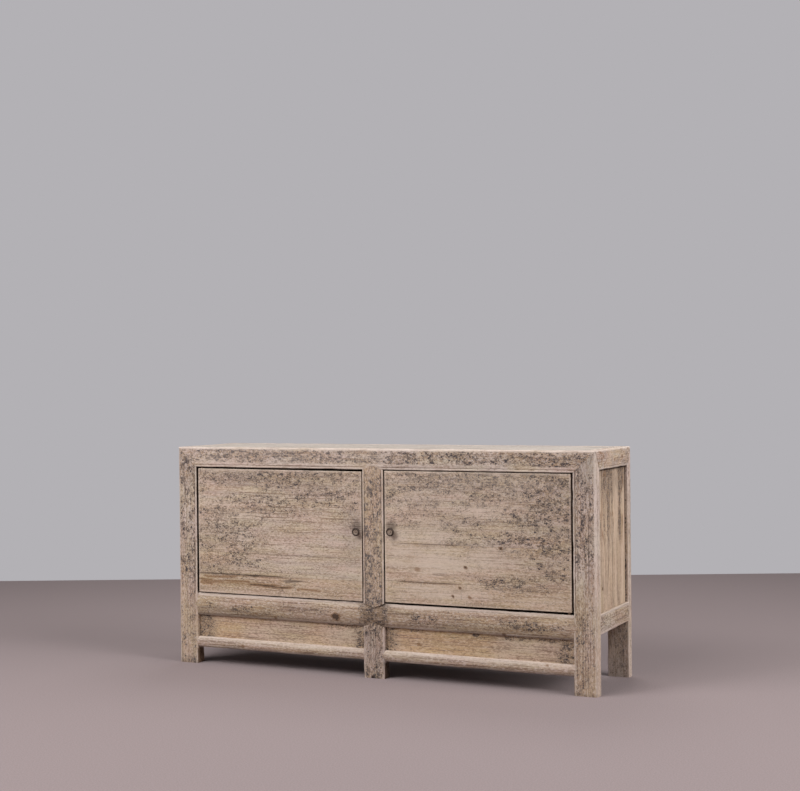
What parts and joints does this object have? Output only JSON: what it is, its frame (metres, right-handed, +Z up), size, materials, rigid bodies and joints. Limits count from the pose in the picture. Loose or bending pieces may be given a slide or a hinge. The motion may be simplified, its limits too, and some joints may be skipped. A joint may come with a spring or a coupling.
{
  "type": "sideboard",
  "caption": "Long low sideboard in weathered wood: mitred post-and-rail frame on legs, flush plank doors on wooden pivots, round-faced middle rail and recessed aprons.",
  "frame": {"origin": "middle of the footprint on the ground, taken over the case and the knobs", "axes": "+Z up, +X to the right along the length, and the front with the doors faces -Y"},
  "size_m": [1.62, 0.4104, 0.8],
  "materials": {
    "frame_wood": "weathered, worn pale along the edges and pitted dark along the middle",
    "door_wood": "weathered planks with horizontal grain, pitted and streaked",
    "panel_wood": "weathered boards, warmer and less pitted than the frame",
    "inner_wood": "dry unfinished wood, darker than the outside",
    "knob_wood": "turned hardwood, darkened and polished by handling",
    "pivot_wood": "hardwood pins, worn smooth"
  },
  "bodies": {
    "case": {"front_left_post": "frame_wood", "front_right_post": "frame_wood", "rear_left_post": "frame_wood", "rear_right_post": "frame_wood", "front_centre_post": "frame_wood", "front_centre_leg": "frame_wood", "rear_centre_post": "inner_wood", "door_stop": "inner_wood", "top_front_rail": "frame_wood", "top_rear_rail": "frame_wood", "top_left_rail": "frame_wood", "top_right_rail": "frame_wood", "top_front_board": "panel_wood", "top_rear_board": "panel_wood", "top_left_batten": "inner_wood", "top_centre_batten": "inner_wood", "top_right_batten": "inner_wood", "mid_rail": "frame_wood", "bottom_left_rail": "frame_wood", "bottom_right_rail": "frame_wood", "left_apron_panel": "panel_wood", "right_apron_panel": "panel_wood", "left_side_rail": "frame_wood", "right_side_rail": "frame_wood", "rear_left_rail": "inner_wood", "rear_right_rail": "inner_wood", "left_side_front_board": "panel_wood", "left_side_middle_board": "panel_wood", "left_side_rear_board": "panel_wood", "right_side_front_board": "panel_wood", "right_side_middle_board": "panel_wood", "right_side_rear_board": "panel_wood", "back_left_upper_board": "inner_wood", "back_left_lower_board": "inner_wood", "back_right_upper_board": "inner_wood", "back_right_lower_board": "inner_wood", "floor_front_board": "inner_wood", "floor_rear_board": "inner_wood", "floor_bearers": "inner_wood", "shelf_front_board": "inner_wood", "shelf_rear_board": "inner_wood", "shelf_left_bearer": "inner_wood", "shelf_centre_bearer": "inner_wood", "shelf_right_bearer": "inner_wood"},
    "left_door": {"left_door_upper_board": "door_wood", "left_door_middle_board": "door_wood", "left_door_lower_board": "door_wood", "left_door_hinge_batten": "inner_wood", "left_door_meeting_batten": "inner_wood", "left_door_pivot_pins": "pivot_wood", "left_knob": "knob_wood", "left_knob_pin": "knob_wood"},
    "right_door": {"right_door_upper_board": "door_wood", "right_door_middle_board": "door_wood", "right_door_lower_board": "door_wood", "right_door_hinge_batten": "inner_wood", "right_door_meeting_batten": "inner_wood", "right_door_pivot_pins": "pivot_wood", "right_knob": "knob_wood", "right_knob_pin": "knob_wood"}
  },
  "joints": [
    {"name": "left_door_hinge", "type": "hinge", "parent": "case", "child": "left_door", "pos_m": [-0.7125, -0.17425, 0.262], "axis": [0, 0, -1], "range_deg": [0, 100]},
    {"name": "right_door_hinge", "type": "hinge", "parent": "case", "child": "right_door", "pos_m": [0.712, -0.17425, 0.262], "axis": [0, 0, 1], "range_deg": [0, 100]}
  ]
}
